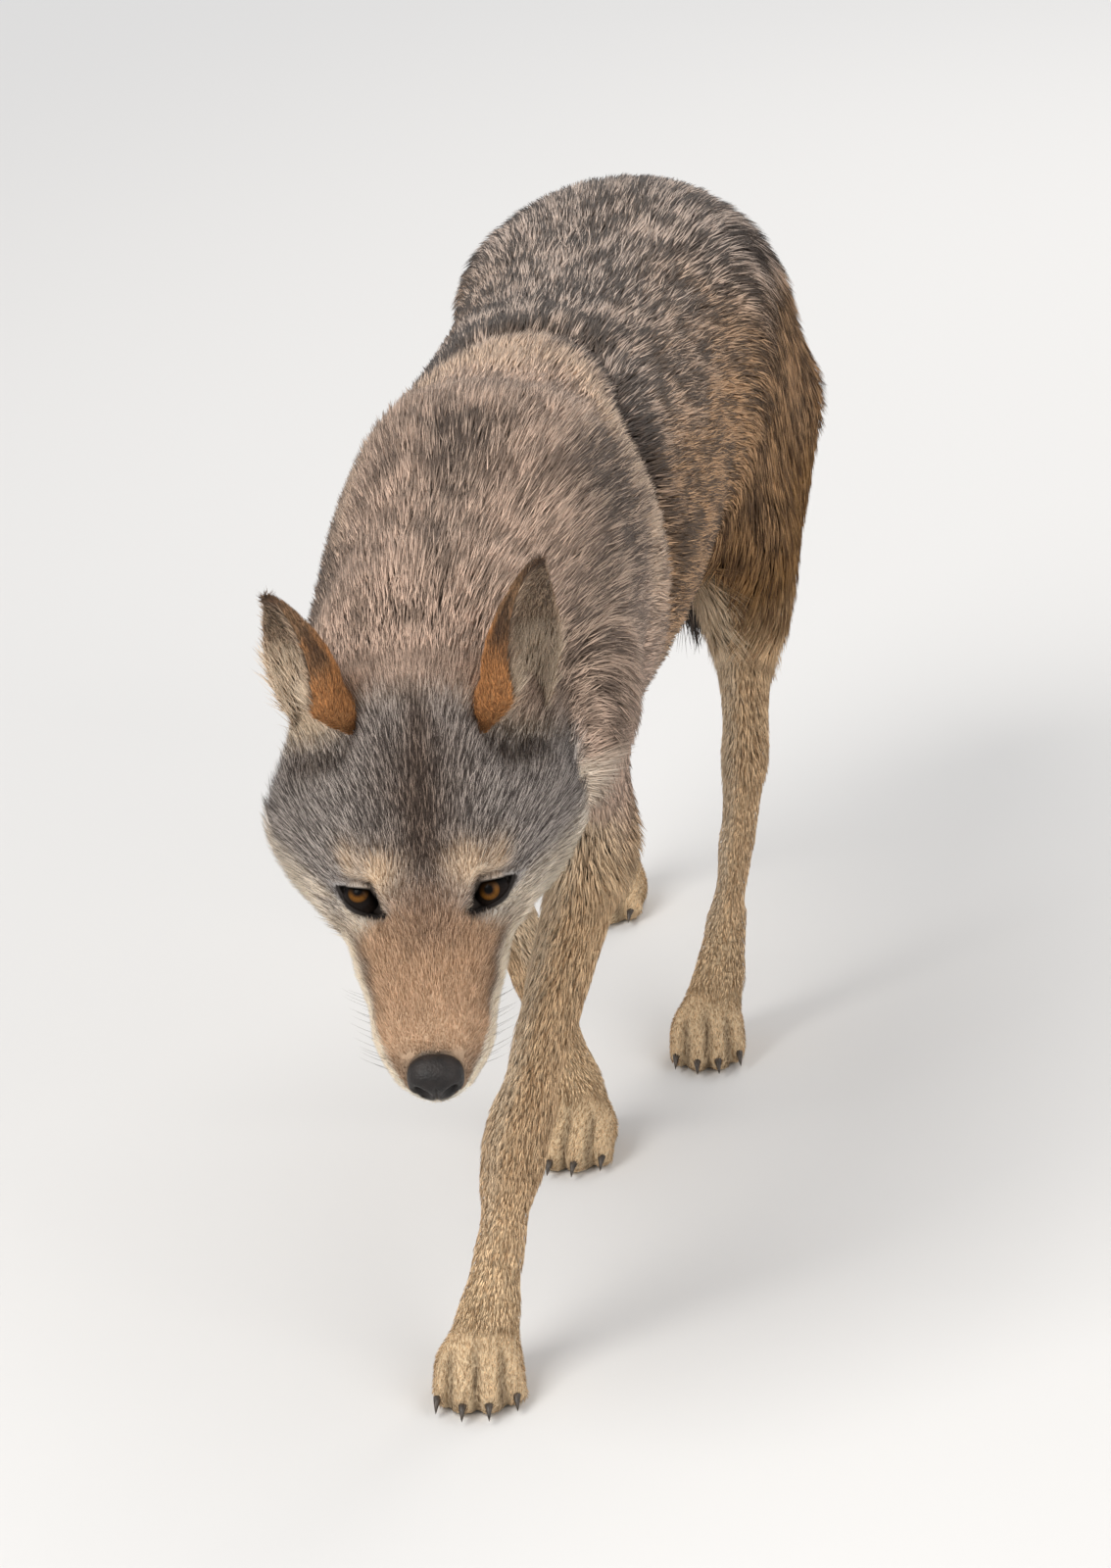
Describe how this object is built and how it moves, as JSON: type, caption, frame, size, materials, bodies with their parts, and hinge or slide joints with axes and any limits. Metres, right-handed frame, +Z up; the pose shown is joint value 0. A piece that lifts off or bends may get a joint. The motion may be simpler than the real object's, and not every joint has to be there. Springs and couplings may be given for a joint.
{
  "type": "gray wolf",
  "caption": "Life-size gray wolf walking slowly with its head carried low and turned a little to its left, ears up and tail hanging, as a still museum-type model.",
  "frame": {"origin": "on the ground under the middle of the wolf's bounding box", "axes": "+Z up, the wolf walks towards -Y with its left side at +X"},
  "size_m": [0.2776, 1.1932, 0.6508],
  "materials": {
    "coat": "matt fur, grizzled grey brown",
    "saddle": "matt fur, black and grey over tan",
    "ear": "short matt rufous fur",
    "leg": "short matt tan fur",
    "eye": "polished amber brown",
    "nose": "moist dark leather"
  },
  "bodies": {
    "root": {"head": "coat", "lower_jaw": "coat", "ear_left": "ear", "ear_right": "ear", "eye_left": "eye", "eye_right": "eye", "nose": "nose", "neck": "coat", "trunk": "saddle", "tail": "saddle", "foreleg_left": "leg", "forepaw_left": "leg", "foreleg_right": "leg", "forepaw_right": "leg", "hindleg_left": "leg", "hindfoot_left": "leg", "hindleg_right": "leg", "hindfoot_right": "leg"}
  },
  "joints": []
}
